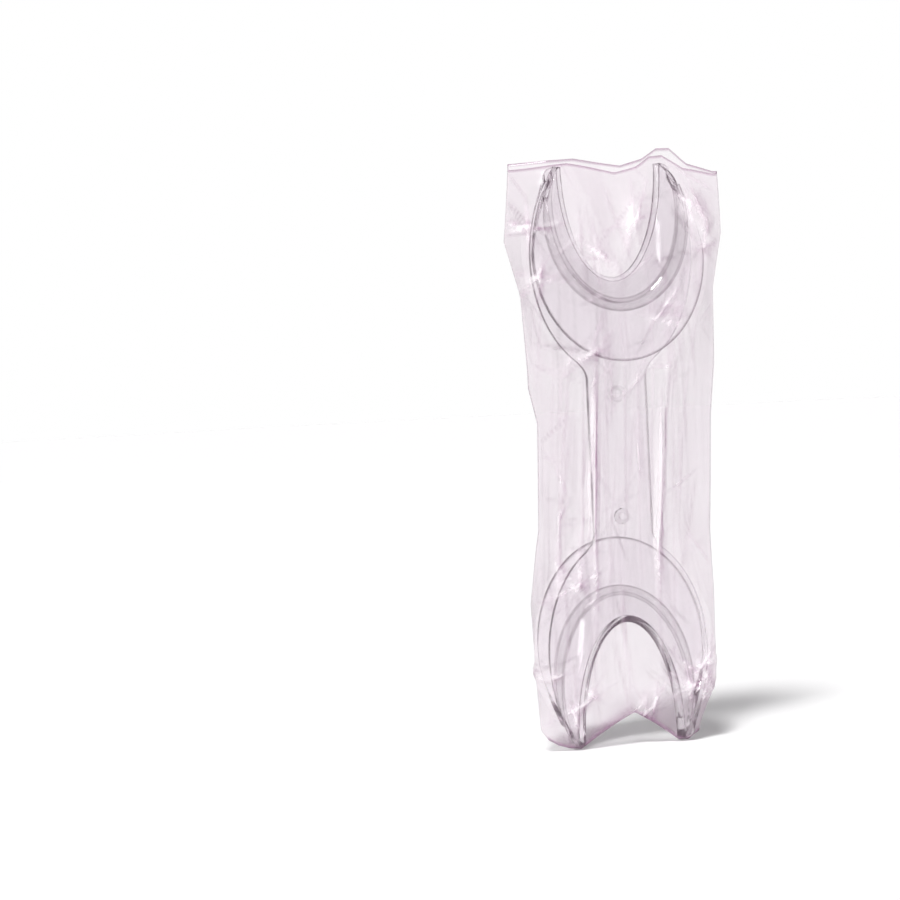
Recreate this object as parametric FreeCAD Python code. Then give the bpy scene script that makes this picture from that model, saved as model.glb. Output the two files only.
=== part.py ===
"""Double-ended cheek retractor in its open film bag, standing on end.

+Z runs along the retractor, +X across it and -Y is its front. The origin is the middle of the bag's base.
"""
import FreeCAD, Part
import math
import os

Vector = FreeCAD.Vector

# Retractor: one clear moulding
retractor_length = 160.0
plate_thickness = 2.0
handle_width = 16.8
handle_corner_radius = 3.0
handle_overlap = 6.0
blade_half_width = 22.8
blade_half_height = 32.7
blade_centre = 55.0
horn_curve = 0.227
trim_half_width = 30.0
pip_radius = 1.8
pip_height = 0.7
pip_place = 17.0

# Bell that holds the lip: a web slants forward from the mouth to a bend, and a flange runs from there to
# the rim. Each row of its front face is an ellipse: the depth at its lowest point, the lowest point, half
# width, centre, and tilt, which is how much depth the ellipse loses for each millimetre of height.
sheet_thickness = 2.0
back_lift = 1.5
mouth_row = (0.5, 49.2, 13.3, 79.2, 0.0)
bend_rows = (
    (10.3, 41.9, 17.6, 68.3, 0.155),
    (11.4, 40.4, 18.7, 66.0, 0.165),
    (11.8, 38.4, 19.7, 64.2, 0.16),
)
rim_row = (12.5, 26.0, 23.8, 54.7, 0.11)
# How much nearer to the middle an end's ellipses reach. The lower bell is the deeper one.
deeper_by = {"upper": 0.0, "lower": 2.5}

# Film bag: an open pouch
bag_width = 58.0
bag_depth = 29.0
bag_height = 163.0
bag_corner_radius = 8.0
film_wall = 0.5
foot_gap = 0.5

half_length = retractor_length / 2
half_plate = plate_thickness / 2
middle_height = film_wall + foot_gap + half_length


def ellipse(depth, lowest, half_width, centre, tilt):
    """An ellipse across the retractor, standing on its lowest point and leaning back by its tilt."""
    half_height = centre - lowest
    middle = Vector(0, -depth + tilt * half_height, centre)
    top = Vector(0, -depth + 2 * tilt * half_height, centre + half_height)
    side = Vector(half_width, middle.y, centre)
    return Part.Ellipse(top, side, middle).toShape()


def ring(rows):
    """A solid ring whose skin runs straight from each ellipse to the next, and back to the first."""
    edges = [ellipse(*row) for row in rows]
    bands = [Part.makeRuledSurface(edges[i - 1], edges[i]) for i in range(len(edges))]
    skin = Part.makeCompound(bands)
    skin.sewShape()
    solid = Part.makeSolid(skin.Shells[0])
    return solid if solid.Volume > 0 else solid.reversed()


def row_behind(row, before, after):
    """A row moved back and outwards by the sheet's thickness, square to the sheet at its lowest point.

    Its centre is lifted a little, which keeps the two faces apart above the horns.
    """
    forward = after[0] - before[0]
    downward = before[1] - after[1]
    length = math.hypot(forward, downward)
    depth, lowest, half_width, centre, tilt = row
    outward = sheet_thickness * forward / length
    backward = sheet_thickness * downward / length
    return depth - backward, lowest - outward, half_width + outward, centre + back_lift, tilt


def deeper(row, drop):
    """A row whose ellipse reaches further down by a drop, with its top where it was."""
    depth, lowest, half_width, centre, tilt = row
    return depth, lowest - drop, half_width, centre - drop / 2, tilt


def bell(drop):
    """The sheet whose groove takes the lip: a closed ring, before the horns are cut."""
    front = [deeper(row, drop) for row in (mouth_row, *bend_rows, rim_row)]
    back = [row_behind(*rows) for rows in zip(front[1:-1], front[:-2], front[2:])]
    back.append(row_behind(front[-1], front[-2], front[-1]))
    inner_root = (-half_plate,) + front[0][1:]
    # The mouth's edge runs straight forward, so there the sheet's back is straight outwards.
    outer_root = row_behind(inner_root, inner_root, front[0])
    outer_start = row_behind(front[0], inner_root, front[0])
    return ring([inner_root, *front, *reversed(back), outer_start, outer_root])


def mouth(drop):
    """The opening through the blade, between the horns."""
    outline = ellipse(-plate_thickness, *deeper(mouth_row, drop)[1:])
    opening = Part.Face(Part.Wire([outline]))
    return opening.extrude(Vector(0, -2 * plate_thickness, 0))


def blade():
    """The flat crescent that stays outside the cheek, in line with the handle."""
    lowest = blade_centre - blade_half_height
    outline = ellipse(-half_plate, lowest, blade_half_width, blade_centre, 0)
    face = Part.Face(Part.Wire([outline]))
    return face.extrude(Vector(0, -plate_thickness, 0))


def horn_end(depth):
    """A point on the curved cut that ends both horns, at a depth."""
    return Vector(-trim_half_width, -depth, half_length - horn_curve * max(depth, 0) ** 2)


def horn_trim():
    """The space below the cut that ends both horns."""
    tip = Vector(-trim_half_width, half_plate, half_length)
    far_depth = rim_row[0] + 1
    front_foot = Vector(-trim_half_width, -far_depth, 0)
    back_foot = Vector(-trim_half_width, half_plate, 0)
    cut = Part.Arc(horn_end(0), horn_end(far_depth / 2), horn_end(far_depth)).toShape()
    rest = Part.makePolygon([horn_end(far_depth), front_foot, back_foot, tip, horn_end(0)])
    face = Part.Face(Part.Wire([cut] + rest.Edges))
    return face.extrude(Vector(2 * trim_half_width, 0, 0))


def pip():
    """A low round mark on the front of the handle."""
    ball_radius = (pip_radius ** 2 + pip_height ** 2) / (2 * pip_height)
    ball = Part.makeSphere(ball_radius, Vector(0, -half_plate - pip_height + ball_radius, pip_place))
    corner = Vector(-2 * pip_radius, -half_plate - pip_height, pip_place - 2 * pip_radius)
    slab = Part.makeBox(4 * pip_radius, pip_height + half_plate, 4 * pip_radius, corner)
    return ball.common(slab)


def handle_half():
    """Half of the handle, running a little way into the blade."""
    half = Part.makeBox(handle_width, plate_thickness, blade_centre - blade_half_height + handle_overlap)
    half.translate(Vector(-handle_width / 2, -half_plate, 0))
    return half


def retractor_end(drop):
    """One end of the retractor with its half of the handle, standing up from the middle of the handle."""
    flat = blade().fuse(handle_half()).removeSplitter()
    corners = [edge for edge in flat.Edges if is_handle_corner(edge)]
    flat = flat.makeFillet(handle_corner_radius, corners)
    end = flat.cut(mouth(drop)).fuse(bell(drop))
    return end.common(horn_trim()).fuse(pip())


def is_handle_corner(edge):
    """True for the two short edges where the handle's sides meet the blade."""
    box = edge.BoundBox
    beside_handle = abs(abs(box.Center.x) - handle_width / 2) < 0.01
    return beside_handle and box.XLength < 0.01 and box.ZLength < 0.01 and box.Center.z > 1


def retractor():
    """Both ends in one piece. The lower end is turned half round, so its bell faces the back."""
    upper = retractor_end(deeper_by["upper"])
    lower = retractor_end(deeper_by["lower"])
    lower.rotate(Vector(0, 0, 0), Vector(1, 0, 0), 180)
    whole = upper.fuse(lower).removeSplitter()
    whole.translate(Vector(0, 0, middle_height))
    return whole


def rounded_block(width, depth, height, corner_radius):
    """An upright block with its four upright edges rounded."""
    block = Part.makeBox(width, depth, height, Vector(-width / 2, -depth / 2, 0))
    upright = [edge for edge in block.Edges if edge.BoundBox.ZLength > height - 0.01]
    return block.makeFillet(corner_radius, upright)


def film_bag():
    """A pouch open at the top, with its base flat on the table."""
    outside = rounded_block(bag_width, bag_depth, bag_height, bag_corner_radius)
    inner_width = bag_width - 2 * film_wall
    inner_depth = bag_depth - 2 * film_wall
    inside = rounded_block(inner_width, inner_depth, bag_height, bag_corner_radius - film_wall)
    inside.translate(Vector(0, 0, film_wall))
    return outside.cut(inside)


def save(node, shape):
    """Write one piece to its own file and print what it measures."""
    os.makedirs("parts", exist_ok=True)
    shape.exportStep(f"parts/{node}.step")
    box = shape.BoundBox
    print(node, shape.ShapeType, len(shape.Solids), shape.isValid(), round(shape.Volume, 1), box)


save("retractor", retractor())
save("film_bag", film_bag())
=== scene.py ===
import bmesh
import bpy
import math
import numpy as np
from mathutils import Matrix, Vector


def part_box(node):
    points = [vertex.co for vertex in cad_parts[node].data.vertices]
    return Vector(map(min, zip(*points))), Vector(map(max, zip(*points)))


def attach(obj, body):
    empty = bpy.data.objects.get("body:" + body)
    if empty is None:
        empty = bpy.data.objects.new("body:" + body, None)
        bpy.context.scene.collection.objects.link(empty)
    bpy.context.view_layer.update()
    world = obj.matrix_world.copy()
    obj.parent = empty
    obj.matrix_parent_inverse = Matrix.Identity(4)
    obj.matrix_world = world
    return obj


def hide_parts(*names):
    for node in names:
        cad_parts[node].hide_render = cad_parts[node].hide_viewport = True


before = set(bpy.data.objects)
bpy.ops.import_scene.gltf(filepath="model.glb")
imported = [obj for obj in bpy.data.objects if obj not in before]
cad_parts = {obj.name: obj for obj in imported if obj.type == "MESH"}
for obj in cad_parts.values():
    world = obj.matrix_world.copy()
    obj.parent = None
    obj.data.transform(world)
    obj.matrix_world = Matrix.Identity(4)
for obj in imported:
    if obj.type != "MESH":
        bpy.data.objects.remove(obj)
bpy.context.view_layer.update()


# ---- Table, light and camera ----
# A plain pale table that the bagged retractor stands on, under soft studio light with a few narrow
# lamps that put highlights on clear plastic.

def plain_material(name, colour, roughness):
    """One Principled shader with a colour and a roughness that are the same all over."""
    made = bpy.data.materials.new(name)
    made.use_nodes = True
    shader = made.node_tree.nodes["Principled BSDF"]
    shader.inputs["Base Color"].default_value = (*colour, 1)
    shader.inputs["Roughness"].default_value = roughness
    return made


def table(radius):
    """A round table top at height 0, whose edge is (radius * cos, radius * sin, 0) of the angle round it."""
    angle = np.linspace(0, 2 * math.pi, 96, endpoint=False)
    rim = np.stack([radius * np.cos(angle), radius * np.sin(angle), 0 * angle], axis=1)
    mesh = bpy.data.meshes.new("table")
    mesh.from_pydata(rim.tolist(), [], [list(range(len(rim)))])
    mesh.materials.append(plain_material("pale_table", (0.9, 0.9, 0.9), 0.6))
    top = bpy.data.objects.new("table", mesh)
    bpy.context.scene.collection.objects.link(top)
    return top


def lamp(name, azimuth, elevation, distance, size, power):
    """An area lamp that faces the middle of the retractor. Azimuth 0 is in front of it."""
    light = bpy.data.lights.new(name, "AREA")
    light.shape = "RECTANGLE"
    light.size, light.size_y = size
    light.energy = power
    made = bpy.data.objects.new(name, light)
    away = Vector((math.sin(azimuth) * math.cos(elevation), -math.cos(azimuth) * math.cos(elevation),
                   math.sin(elevation)))
    made.rotation_mode = "QUATERNION"
    made.rotation_quaternion = away.to_track_quat("Z", "Y")
    made.location = retractor_middle + distance * away
    bpy.context.scene.collection.objects.link(made)
    return made


low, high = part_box("retractor")
retractor_middle = Vector((0, 0, (low.z + high.z) / 2))

world = bpy.data.worlds.new("studio")
world.use_nodes = True
sky = world.node_tree
direction = sky.nodes.new("ShaderNodeTexCoord")
split = sky.nodes.new("ShaderNodeSeparateXYZ")
dome = sky.nodes.new("ShaderNodeValToRGB")
dome.color_ramp.elements[0].position, dome.color_ramp.elements[0].color = 0.30, (1, 1, 1, 1)
dome.color_ramp.elements[1].position, dome.color_ramp.elements[1].color = 0.62, (0.16, 0.15, 0.16, 1)
sky.links.new(direction.outputs["Generated"], split.inputs[0])
sky.links.new(split.outputs["Z"], dome.inputs["Fac"])
sky.links.new(dome.outputs["Color"], sky.nodes["Background"].inputs["Color"])
bpy.context.scene.world = world
bpy.context.scene.view_settings.view_transform = "Standard"

table(3.0)
lamp("left_strip", math.radians(-75), math.radians(20), 1.2, (0.04, 1.3), 1.6)
lamp("right_strip", math.radians(50), math.radians(15), 1.2, (0.03, 1.3), 1.0)
sun = bpy.data.lights.new("overhead", "SUN")
sun.energy = 3.0
sun.angle = math.radians(12)
overhead = bpy.data.objects.new("overhead", sun)
overhead.rotation_euler = (math.radians(24), math.radians(-18), 0)
bpy.context.scene.collection.objects.link(overhead)

camera_azimuth = math.radians(-16)
camera_elevation = math.radians(3)
camera_roll = math.radians(-2.7)
camera_distance = 0.6
subject_right = 0.1878  # how far right of the middle the retractor stands, as a share of the frame's width
subject_low = 0.0145    # and how far below the middle

camera_data = bpy.data.cameras.new("camera")
camera_data.sensor_width = 36
camera_data.lens = 86.4
camera_data.clip_start = 0.01
camera = bpy.data.objects.new("camera", camera_data)
back = Vector((math.sin(camera_azimuth) * math.cos(camera_elevation),
               -math.cos(camera_azimuth) * math.cos(camera_elevation), math.sin(camera_elevation)))
frame_share = camera_data.sensor_width / camera_data.lens
turn_left = Matrix.Rotation(math.atan(subject_right * frame_share), 3, "Y")
turn_up = Matrix.Rotation(math.atan(subject_low * frame_share), 3, "X")
facing = back.to_track_quat("Z", "Y").to_matrix()
roll = Matrix.Rotation(camera_roll, 3, "Z")
camera.rotation_mode = "QUATERNION"
camera.rotation_quaternion = (facing @ turn_left @ turn_up @ roll).to_quaternion()
camera.location = retractor_middle + camera_distance * back
bpy.context.scene.collection.objects.link(camera)
bpy.context.scene.camera = camera


# ---- Retractor ----
# One clear moulding, 2 mm thick all over: a flat handle, a flat crescent blade at each end, and a bell that
# turns forward off the blade's mouth, bends, and spreads into a flange. The lip lies in the groove between.

MM = 0.001
plate = 2.0
half_length = 80.0
handle_half_width = 8.4
flare_start, flare_half_width = 21.4, 11.6
# Rows of the sheet's middle surface: depth, lowest point, half width, centre and backward tilt of an ellipse.
blade_edge_row = (0.0, 22.3, 22.8, 55.0, 0.0)
mouth_row = (0.0, 48.2, 14.3, 79.4, 0.0)
bend_start_row = (9.7, 41.1, 18.0, 68.3, 0.155)
bend_end_row = (10.8, 38.4, 20.2, 64.4, 0.16)
rim_row = (11.5, 26.0, 24.0, 55.2, 0.11)
deeper_by = {"upper": 0.0, "lower": 2.5}  # the lower bell reaches this much nearer to the middle
root_radius, bend_radius = 1.3, 3.6
root_turn, bend_turn = math.radians(128), math.radians(177)
horn_curve = 0.227
blade_tip_drop, flange_tip_drop = 4.0, 9.0
pip_height, pip_radius, pip_place = 0.7, 1.8, 17.0


def arc(radius, first, last, count):
    """Steps (forward, upward) along an arc. Its heading is straight up at 0 and straight down at pi."""
    heading = np.linspace(first, last, count)
    forward = radius * (math.cos(first) - np.cos(heading))
    upward = radius * (np.sin(heading) - math.sin(first))
    return np.stack([forward, upward], axis=1)


def packed(count):
    """Shares from 0 to 1 that lie closer together near both ends, as half a turn's cosine does."""
    return (1 - np.cos(np.linspace(0, math.pi, count))) / 2


def section(mouth, rim):
    """The sheet's line at its lowest place, from the blade's edge to the rim.

    It goes up the blade, round the root, down the web, round the bend and down the flange. Returns the
    (depth, height) of each row, and how many rows each of the five parts has.
    """
    root_start = np.array([0.0, mouth[1] - root_radius])
    blade_start = np.array([0.0, blade_edge_row[1]])
    blade = blade_start + packed(26)[:-1, None] * (root_start - blade_start)
    root = root_start + arc(root_radius, 0, root_turn, 12)
    bend = arc(bend_radius, root_turn, bend_turn, 9)
    web_way = np.array([math.sin(root_turn), math.cos(root_turn)])
    flange_way = np.array([math.sin(bend_turn), math.cos(bend_turn)])
    left = np.array([rim[0], rim[1]]) - root[-1] - bend[-1]
    web_length, flange_length = np.linalg.solve(np.stack([web_way, flange_way], axis=1), left)
    web = root[-1] + np.linspace(0, web_length, 14)[1:-1, None] * web_way
    bend = root[-1] + web_length * web_way + bend
    flange = bend[-1] + flange_length * packed(26)[1:, None] * flange_way
    line = np.concatenate([blade, root, web, bend, flange])
    parts = [len(blade), len(root), len(web), len(bend), len(flange)]
    return line, parts


def deeper(row, drop):
    """A row whose ellipse reaches further down by a drop, with its top where it was."""
    depth, lowest, half_width, centre, tilt = row
    return depth, lowest - drop, half_width, centre - drop / 2, tilt


def bell_surface(drop, columns):
    """The middle surface of one end, as rows from the blade's edge to the rim and columns from horn to horn.

    Each row is part of an ellipse: across = half width * sin(angle), up = centre - half height * cos(angle),
    and its depth falls with height by its tilt. The angle runs to where the row meets the horns' cut, a curve
    that drops with the square of the depth. Half width, centre and tilt pass linearly between the named rows
    as the line's own length does.
    """
    rows = mouth_row, bend_start_row, bend_end_row, rim_row
    mouth, bend_start, bend_end, rim = (deeper(row, drop) for row in rows)
    line, parts = section(mouth, rim)
    step = np.linalg.norm(np.diff(line, axis=0), axis=1)
    way = np.concatenate([[0], np.cumsum(step)])
    root_at = parts[0] + parts[1] // 2
    bend_from, bend_to = sum(parts[:3]), sum(parts[:4]) - 1
    stops = [0, way[root_at], way[bend_from], way[bend_to], way[-1]]
    named = np.array([blade_edge_row, mouth, bend_start, bend_end, rim])
    half_width, centre, tilt = (np.interp(way, stops, named[:, k])[:, None] for k in (2, 3, 4))
    depth, lowest = line[:, 0][:, None], line[:, 1][:, None]
    half_height = centre - lowest
    blade_share = np.clip(1 - way / stops[1], 0, 1)[:, None]
    flange_share = np.clip((way - stops[3]) / (stops[4] - stops[3]), 0, 1)[:, None]
    end = np.full_like(half_width, half_length)
    for _ in range(12):  # settles on the height where each row meets the cut
        end_depth = np.maximum(depth - tilt * (end - lowest), 0)
        tip_drop = blade_tip_drop * blade_share ** 2 + flange_tip_drop * flange_share ** 2
        end = 0.5 * end + 0.5 * (half_length - (horn_curve * end_depth ** 2 + tip_drop))
    last_angle = np.arccos(np.clip((centre - end) / half_height, -1, 1))
    angle = last_angle * np.linspace(-1, 1, columns)[None, :]
    across = half_width * np.sin(angle)
    up = centre - half_height * np.cos(angle)
    forward = depth - tilt * (up - lowest)
    # The dark values set here are painted shade: dark lines along the mouth, round the bend, along the horns'
    # cut and along the rim, standing in for the shade clear plastic shows along its edges.
    dark = np.zeros_like(across)
    dark[root_at - 1:root_at + 2] = [[0.3], [1.0], [0.3]]  # a line along the mouth
    dark[bend_from:bend_to + 1] = 0.25  # a faint band round the bend, with a line at each side
    dark[[bend_from, bend_from + 1, bend_to - 1, bend_to]] = [[1.0], [0.5], [0.6], [1.0]]
    dark[:, [0, -1]] = 0.6  # the horns' cut
    dark[-4:] = [[0.4], [0.8], [1.0], [1.0]]  # the rim
    dark[0] = np.abs(across[0]) >= flare_half_width  # but not where the handle joins
    return np.stack([across, -forward, up], axis=-1), dark


def handle_surface(edge):
    """Half the handle, from the columns of the blade's edge that it joins down to the middle of the retractor.

    Each column keeps its share of the width, while the half width eases from the flare to the straight handle.
    """
    rows = 64
    keep = 1 - np.linspace(0, 1, rows)[:, None] ** 0.9
    share = edge[None, :, 0] / edge[:, 0].max()
    side_height = keep * edge[-1, 2]
    flare = np.clip((side_height - flare_start) / (edge[-1, 2] - flare_start), 0, 1)
    half_width = handle_half_width + (edge[:, 0].max() - handle_half_width) * flare ** 2
    across = share * half_width
    up = keep * edge[None, :, 2]
    away = np.hypot(across, up - pip_place) / pip_radius
    raised = pip_height * np.sqrt(np.clip(1 - away ** 2, 0, 1))
    # Painted shade: a dark ring round the pip's edge and dark lines along the handle's sides.
    dark = 0.35 * np.exp(-((away - 1) / 0.18) ** 2)
    dark[:, [0, -1]] = 1
    return np.stack([across, -raised, up], axis=-1), dark


def quads(rows, columns, first):
    """The faces of a grid of points that are numbered row by row from the first."""
    number = first + np.arange(rows * columns).reshape(rows, columns)
    corners = [number[:-1, :-1], number[:-1, 1:], number[1:, 1:], number[1:, :-1]]
    return np.stack(corners, axis=-1).reshape(-1, 4)


def retractor_skin():
    """Points, faces and painted edge shade of both ends. The lower end is turned half round about the across
    axis.
    """
    points, faces, shades, count = [], [], [], 0
    for end, turned in (("upper", 1), ("lower", -1)):
        bell, bell_dark = bell_surface(deeper_by[end], 181)
        joined = np.abs(bell[0, :, 0]) < flare_half_width
        handle, handle_dark = handle_surface(bell[0, joined])
        for grid, dark, forward in ((bell, bell_dark, 1), (handle, handle_dark, -1)):
            new = quads(*grid.shape[:2], count)
            faces.append(new if forward * turned > 0 else new[:, ::-1])
            points.append((grid * [1, turned, turned]).reshape(-1, 3))
            shades.append(dark.ravel())
            count += dark.size
    return np.concatenate(points), np.concatenate(faces), np.concatenate(shades)


def mesh_piece(name, points, faces, **values):
    """A mesh object from points in metres and faces, with doubled points made one.

    Each named value is kept at every point, for the material to read.
    """
    mesh = bpy.data.meshes.new(name)
    mesh.from_pydata(points.tolist(), [], faces.tolist())
    for kept, value in values.items():
        mesh.attributes.new(kept, "FLOAT", "POINT").data.foreach_set("value", value.ravel().astype(np.float32))
    piece = bpy.data.objects.new(name, mesh)
    bpy.context.scene.collection.objects.link(piece)
    work = bmesh.new()
    work.from_mesh(mesh)
    bmesh.ops.remove_doubles(work, verts=work.verts, dist=2e-6)
    work.to_mesh(mesh)
    work.free()
    mesh.shade_smooth()
    return piece


class Value:
    """A shader socket that takes part in sums, so that a pattern reads as a formula."""

    def __init__(self, nodes, socket):
        self.nodes, self.socket = nodes, socket

    def math(self, operation, other=None, other_first=False):
        inputs = [self] if other is None else [other, self] if other_first else [self, other]
        return self.nodes.add("ShaderNodeMath", {"operation": operation}, inputs)

    def __add__(self, other): return self.math("ADD", other)
    def __radd__(self, other): return self.math("ADD", other)
    def __sub__(self, other): return self.math("SUBTRACT", other)
    def __rsub__(self, other): return self.math("SUBTRACT", other, True)
    def __mul__(self, other): return self.math("MULTIPLY", other)
    def __rmul__(self, other): return self.math("MULTIPLY", other)
    def __pow__(self, other): return self.math("POWER", other)


class Finish:
    """A new material and its nodes."""

    def __init__(self, name):
        self.material = bpy.data.materials.new(name)
        self.material.use_nodes = True
        self.tree = self.material.node_tree
        self.shader = self.tree.nodes["Principled BSDF"]

    def add(self, kind, settings, inputs, output=0):
        """A node of a kind with its settings, and values or links for its sockets, by place or by name."""
        node = self.tree.nodes.new(kind)
        for key, value in settings.items():
            setattr(node, key, value)
        pairs = inputs.items() if isinstance(inputs, dict) else enumerate(inputs)
        for key, value in pairs:
            if isinstance(value, Value):
                self.tree.links.new(value.socket, node.inputs[key])
            else:
                node.inputs[key].default_value = value
        return Value(self, node.outputs[output])

    def place(self):
        return self.add("ShaderNodeTexCoord", {}, [], "Object")

    def feed(self, name, value):
        """Joins a value to one of the shader's sockets, or sets a constant there."""
        if isinstance(value, Value):
            self.tree.links.new(value.socket, self.shader.inputs[name])
        else:
            self.shader.inputs[name].default_value = value

    def mix(self, share, first, second):
        """A colour that passes from the first to the second."""
        node = self.tree.nodes.new("ShaderNodeMix")
        node.data_type = "RGBA"
        self.tree.links.new(share.socket, node.inputs["Factor"])
        for key, value in (("A", first), ("B", second)):
            socket = next(s for s in node.inputs if s.name == key and s.type == "RGBA")
            if isinstance(value, Value):
                self.tree.links.new(value.socket, socket)
            else:
                socket.default_value = (*value, 1)
        return Value(self, next(s for s in node.outputs if s.type == "RGBA"))


def clear_moulding():
    """Clear polystyrene: see-through head on, with painted shade that darkens it where it is seen edge on and
    along its painted edge lines, and with faint flow marks.
    """
    finish = Finish("clear_moulding")
    edge_on = finish.add("ShaderNodeLayerWeight", {}, {"Blend": 0.35}, "Facing")
    flow = finish.add("ShaderNodeTexNoise", {}, {"Vector": finish.place(), "Scale": 90.0, "Detail": 2.0})
    wear = finish.add("ShaderNodeTexNoise", {}, {"Vector": finish.place(), "Scale": 1400.0, "Detail": 3.0})
    dark = finish.add("ShaderNodeAttribute", {"attribute_name": "dark"}, [], "Fac")
    # Painted shade: the base colour turns nearly black where the surface is seen edge on and along the painted
    # edge lines.
    shade = (0.45 * edge_on ** 2 + 0.8 * dark).math("MINIMUM", 1.0)
    finish.feed("Base Color", finish.mix(shade, (0.97, 0.955, 0.97), (0.14, 0.12, 0.13)))
    finish.feed("Roughness", 0.02 + 0.05 * wear)
    finish.feed("IOR", 1.5)
    finish.feed("Transmission Weight", 1.0)
    bump = finish.add("ShaderNodeBump", {}, {"Strength": 0.15, "Distance": 0.0004, "Height": flow})
    finish.feed("Normal", bump)
    return finish.material


points, faces, shades = retractor_skin()
retractor = mesh_piece("cheek_retractor", points * MM + np.array(retractor_middle), faces, dark=shades)
wall = retractor.modifiers.new("wall", "SOLIDIFY")
wall.thickness = plate * MM
wall.offset = 0
wall.use_even_offset = True
rounding = retractor.modifiers.new("rounding", "BEVEL")
rounding.width = 0.35 * MM
rounding.segments = 3
rounding.limit_method = "ANGLE"
rounding.angle_limit = math.radians(50)
retractor.data.materials.append(clear_moulding())
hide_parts("retractor")
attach(retractor, "retractor")


# ---- Film bag ----
# A pouch of thin clear film, sealed along its bottom and open at the top. It was welded flat, so the retractor
# inside pushes it out, and what is left over lies in long upright pleats and crumples at the corners.

film_thickness = 0.05
film_columns, film_rows = 264, 180
seal_run, calm_run = 2.2, 6.0  # above the seam: where the film has opened out, and where its folds are full
film_rng = np.random.default_rng(7)
# What the film passes round at each height above the retractor's middle: how far it stands out in front and
# behind, half the width of those flats, and how far its side folds reach.
front_of = [(-80, 1.9), (-30, 1.9), (-24, 2.2), (10, 9.8), (24, 13.4), (26, 13.4), (35, 12.4), (45, 11.3),
            (55, 10.2), (64, 9.4), (72, 7.0), (76, 5.3), (80, 3.6), (84, 4.6)]
behind_of = [(-80, 2.4), (-76, 5.3), (-72, 7.0), (-64, 9.4), (-45, 11.3), (-26, 13.4), (-22, 13.4),
             (-8, 9.5), (24, 2.2), (30, 1.9), (78, 1.9), (84, 3.4)]
flat_half_width = [(-80, 17.2), (-76, 18.8), (-72, 20.8), (-64, 24.4), (-55, 24.6), (-45, 23.2),
                   (-35, 18.8), (-27, 12.8), (-20, 9.4), (20, 9.4), (27, 12.8), (35, 18.8), (45, 23.2),
                   (55, 24.6), (64, 24.4), (72, 20.8), (76, 18.8), (84, 17.2)]
left_reach = [(-80, 22.5), (-75, 25.8), (-40, 26.4), (-20, 23.2), (10, 23.4), (20, 26.0), (45, 26.9),
              (60, 30.6), (80, 27.9), (84, 27.6)]
right_reach = [(-80, 18.6), (-75, 21.0), (-62, 26.2), (-40, 26.9), (10, 26.4), (20, 26.9), (45, 28.0),
               (60, 31.2), (80, 31.6), (84, 31.6)]
seam_height = [(-26, -75.5), (-22, -79.3), (-19, -80.3), (-15.6, -80.7), (0.7, -71.8), (14, -80.5),
               (17, -80.6), (19.5, -78.5)]
mouth_height = [(-27, 81.1), (-10.6, 81.7), (2.8, 79.4), (9.2, 81.1), (13.6, 83.7), (17.5, 83.7),
                (22.2, 79.4), (30, 77.2)]
corner_place = (0.0, 0.11, 0.39, 0.5, 0.61, 0.89, 1.0)  # the section's six corners, as shares of the way round


def read_off(pairs, at):
    """A value read off a line of (place, value) pairs."""
    place, value = np.array(pairs).T
    return np.interp(at, place, value)


def eased(share):
    """A share from 0 to 1 that starts and stops gently."""
    return share * share * (3 - 2 * share)


def film_section(way_round, height):
    """Across and forward of the film at a share of the way round from the left fold, for each height.

    The section is a six-cornered loop: left fold, front left, front right, right fold, back right, back left.
    """
    front, behind, flat = (read_off(pairs, height) for pairs in (front_of, behind_of, flat_half_width))
    left, right = read_off(left_reach, height), read_off(right_reach, height)
    fold = 0.4 * (front - behind)
    across = np.stack([-left, -flat, flat, right, flat, -flat, -left])
    forward = np.stack([fold, front, front, fold, -behind, -behind, fold])
    stop = np.clip(np.searchsorted(corner_place, way_round, side="right") - 1, 0, 5)
    start, end = np.array(corner_place)[stop], np.array(corner_place)[stop + 1]
    share = (way_round - start) / (end - start)
    row = np.arange(height.size).reshape(height.shape)
    flat_across, flat_forward = across.reshape(7, -1), forward.reshape(7, -1)
    x = flat_across[stop, row] * (1 - share) + flat_across[stop + 1, row] * share
    y = flat_forward[stop, row] * (1 - share) + flat_forward[stop + 1, row] * share
    return x, y


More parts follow.
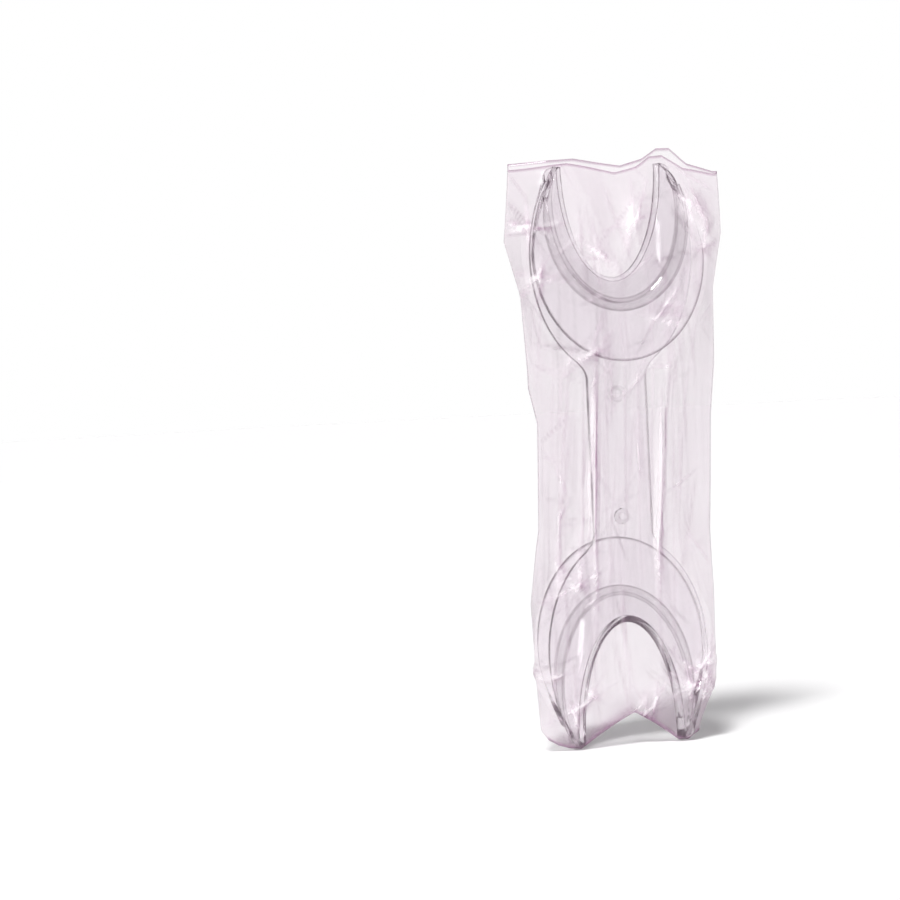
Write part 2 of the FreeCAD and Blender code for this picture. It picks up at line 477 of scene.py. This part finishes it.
def folds(across_bag, height, at_back, side_fade):
    """Creases pressed into the film: how far they stand out, where their ridges are, and which way they lean,
    for the painted highlights along the ridges and the painted light and shade on the facets.

    Each crease is a tent: it rises evenly to a straight ridge and falls evenly beyond it, and fades towards
    the ridge's two ends. Most run upright, and some spread like a star from a corner.
    """
    raised, ridge, lean = (np.zeros_like(height) for _ in range(3))

    def crease(at, up, angle, reach, spread, rise, back, line=1.0):
        """One crease through a place on the front or the back, turned by an angle from upright."""
        across = (across_bag - at) * math.cos(angle) - (height - up) * math.sin(angle)
        along = (across_bag - at) * math.sin(angle) + (height - up) * math.cos(angle)
        fade = np.clip(1 - (along / reach) ** 2, 0, 1) * side_fade * (at_back == back)
        raised[:] += rise * fade * np.clip(1 - np.abs(across) / spread, 0, 1)
        # The ridge line is a painted highlight: the material makes the film whiter and less see-through along
        # it.
        ridge[:] += line * fade * np.exp(-(across / 0.35) ** 2)
        # The lean, each facet's slope across the crease, is painted in the material as light on one side of
        # the ridge and shade on the other.
        lean[:] -= fade * np.sign(across) * (np.abs(across) < spread) * rise / spread

    draw = film_rng.uniform
    for _ in range(34):  # broad soft facets
        crease(draw(-24, 24), draw(-60, 70), film_rng.normal(0, 0.25), draw(14, 40), draw(4, 10),
               draw(0.2, 0.9), draw() > 0.5, draw(0, 0.12))
    for _ in range(90):  # fine upright pleats
        crease(draw(-25, 25), draw(-55, 45), film_rng.normal(0, 0.05), draw(10, 45), draw(0.8, 2.0),
               draw(0.04, 0.16), draw() > 0.5, draw(0.05, 0.5))
    for _ in range(90):  # short creases every way
        crease(draw(-27, 27), draw(-78, 80), film_rng.normal(0, 0.8), draw(3, 12), draw(0.8, 3.0),
               draw(0.04, 0.22), draw() > 0.5, draw(0.1, 0.8))
    # Where creases meet: the place across and up, their widest spread, and how many there are.
    stars = ((22, 66, 5, 8), (24, 58, 4, 6), (-24, 64, 4, 5), (-23, 48, 4, 5), (3, 64, 5, 7),
             (-6, 56, 4, 6), (-10, 30, 4, 5), (12, 38, 4, 5), (-14, -34, 5, 5), (16, -66, 4, 7),
             (-15, -70, 4, 7), (3, -72, 5, 6), (20, -62, 4, 5), (-22, -60, 4, 5))
    for star_at, star_up, spread, rays in stars:
        for angle in draw(-1.5, 1.5, rays):
            crease(star_at + film_rng.normal(0, 1.2), star_up + film_rng.normal(0, 1.2), angle,
                   draw(5, 15), draw(1.0, spread), draw(0.15, 0.55), draw() > 0.75, draw(0.3, 1.1))
    for beside in (-9.0, 9.2):  # drawn tight beside the handle
        crease(beside, -12, 0.0, 32, 1.4, 1.0, False, 1.6)
        crease(1.12 * beside, -2, 0.02, 34, 1.2, 0.5, False, 0.8)
    return raised, ridge, lean


def film_surface():
    """The pouch from its bottom seam to its mouth, as loops of film with their ridge values for painted
    highlights, lean values for painted light and shade, and hem values.

    Each loop is laid on the six-cornered section, drawn to nothing at the seam, and pushed outwards, square to
    itself, by its folds.
    """
    way_round = np.linspace(0, 1, film_columns, endpoint=False)[None, :] + np.zeros((film_rows, 1))
    share_up = np.linspace(0, 1, film_rows)[:, None] ** 1.04
    bottom_x, _ = film_section(way_round, np.full_like(way_round, -78.0))
    top_x, _ = film_section(way_round, np.full_like(way_round, 80.0))
    at_back = way_round > 0.5
    seam = read_off(seam_height, bottom_x)
    mouth = read_off(mouth_height, top_x) - at_back * (1.1 + 0.5 * np.sin(top_x / 6))
    height = seam + share_up * (mouth - seam)
    x, y = film_section(way_round, height)
    closing = np.clip((height - seam) / seal_run, 0, 1) ** 0.5
    side_fade = np.clip(6 * np.abs(np.sin(2 * math.pi * way_round)), 0, 1)
    raised, ridge, lean = folds(x, height, at_back, side_fade)
    raised *= eased(np.clip((height - seam) / calm_run, 0, 1))
    along_x, along_y = (np.roll(v, -1, 1) - np.roll(v, 1, 1) for v in (x, y))
    for _ in range(10):  # smooths the way outwards over the section's corners
        along_x, along_y = ((np.roll(v, 1, 1) + v + np.roll(v, -1, 1)) / 3 for v in (along_x, along_y))
    length = np.hypot(along_x, along_y)
    y = y * closing
    x = x - along_y / length * raised
    y = y + along_x / length * raised
    hem = np.zeros_like(ridge)
    hem[[0, 1, -1]] = [[0.6], [0.3], [1.0]]  # the seam, and the open edge
    return np.stack([x, -y, height], axis=-1), ridge, lean, hem


def closed_quads(grid_rows, grid_columns):
    """The faces of a tube of points whose last column joins its first."""
    number = np.arange(grid_rows * grid_columns).reshape(grid_rows, grid_columns)
    beside = np.roll(number, -1, axis=1)
    return np.stack([number[:-1], beside[:-1], beside[1:], number[1:]], axis=-1).reshape(-1, 4)


def clear_film():
    """Thin clear film with a faint lilac cast: less see-through edge on, whiter and less see-through along its
    crease ridges as a painted highlight, and painted lighter or darker on each facet by the way it leans.
    """
    finish = Finish("clear_film")
    place = finish.place()
    ridge = finish.add("ShaderNodeAttribute", {"attribute_name": "ridge"}, [], "Fac")
    edge_on = finish.add("ShaderNodeLayerWeight", {}, {"Blend": 0.3}, "Facing")
    upright = finish.add("ShaderNodeMapping", {}, {"Vector": place, "Scale": (1.0, 1.0, 0.12)})
    streaks = finish.add("ShaderNodeTexNoise", {}, {"Vector": upright, "Scale": 260.0, "Detail": 2.0})
    clouds = finish.add("ShaderNodeTexNoise", {}, {"Vector": place, "Scale": 45.0, "Detail": 1.0})
    lean = finish.add("ShaderNodeAttribute", {"attribute_name": "lean"}, [], "Fac")
    hem = finish.add("ShaderNodeAttribute", {"attribute_name": "hem"}, [], "Fac")
    # Painted light in the base colour: crease ridges are painted white as highlights, and each facet is
    # painted lighter or darker by its lean as if lit from one side; the seam and the open edge are darker.
    whiteness_and_painted_light = (0.38 + 0.45 * ridge + 0.8 * lean - 0.7 * hem).math("MAXIMUM", 0.0).math("MINIMUM", 1.0)
    finish.feed("Base Color", finish.mix(whiteness_and_painted_light, (0.31, 0.09, 0.25), (0.97, 0.89, 0.94)))
    # The film is also less see-through where the ridge highlights and the facet light and shade are painted,
    # as well as edge on and at the hem.
    haze = 0.06 + 0.03 * clouds + 0.02 * streaks + 0.35 * edge_on ** 2 + 0.28 * ridge + 0.3 * hem
    haze = haze + 0.12 * lean.math("ABSOLUTE")
    finish.feed("Alpha", haze.math("MINIMUM", 0.85))
    finish.feed("Roughness", 0.10 + 0.10 * clouds)
    finish.feed("IOR", 1.5)
    bump = finish.add("ShaderNodeBump", {}, {"Strength": 0.25, "Distance": 0.0006, "Height": streaks})
    finish.feed("Normal", bump)
    return finish.material


film_points, film_ridge_highlight, film_facet_light_and_shade, film_hem = film_surface()
bag = mesh_piece("film_pouch", film_points.reshape(-1, 3) * MM + np.array(retractor_middle),
                 closed_quads(film_rows, film_columns), ridge=film_ridge_highlight, lean=film_facet_light_and_shade, hem=film_hem)
skin = bag.modifiers.new("film", "SOLIDIFY")
skin.thickness = film_thickness * MM
skin.offset = 0
bag.data.materials.append(clear_film())
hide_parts("film_bag")
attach(bag, "bag")
